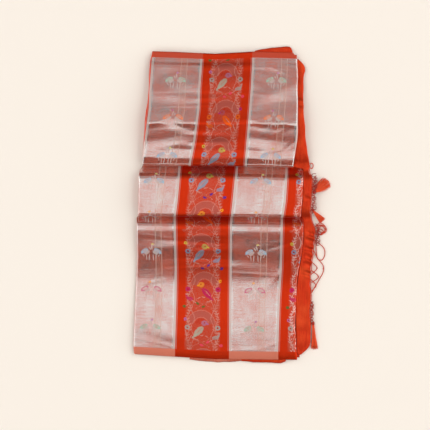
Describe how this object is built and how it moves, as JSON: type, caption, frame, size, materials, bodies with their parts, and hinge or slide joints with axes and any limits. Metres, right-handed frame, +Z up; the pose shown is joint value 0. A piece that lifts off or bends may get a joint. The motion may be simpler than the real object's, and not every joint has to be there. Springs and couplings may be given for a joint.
{
  "type": "folded saree",
  "caption": "Tissue saree folded into a long flat pack with two tucked ledges across its face, and a knotted fringe with tassels along one side.",
  "frame": {"origin": "middle of the underside, on the table that the pack lies on", "axes": "+Y up the pack along the saree's width, +X across the pack towards the fringe, +Z up from the table"},
  "size_m": [0.4384, 0.6984, 0.034],
  "materials": {
    "silver_tissue": "silver tissue bands on orange-red silk, soft metallic sheen",
    "orange_silk": "plain orange-red silk, soft sheen",
    "salmon_border": "silk selvedge shot with silver",
    "fringe_cord": "twisted silk cord",
    "tassel_silk": "loose silk strands"
  },
  "bodies": {
    "root": {"pallu_upper_fold": "silver_tissue", "pallu_middle_fold": "silver_tissue", "pallu_lower_fold": "silver_tissue", "inner_folds": "orange_silk", "end_leaf": "orange_silk", "top_leaf": "salmon_border", "bottom_leaf_left": "salmon_border", "bottom_leaf_right": "orange_silk", "fringe_net": "fringe_cord", "tassel_upper": "tassel_silk", "tassel_middle": "tassel_silk", "tassel_lower": "tassel_silk"}
  },
  "joints": []
}
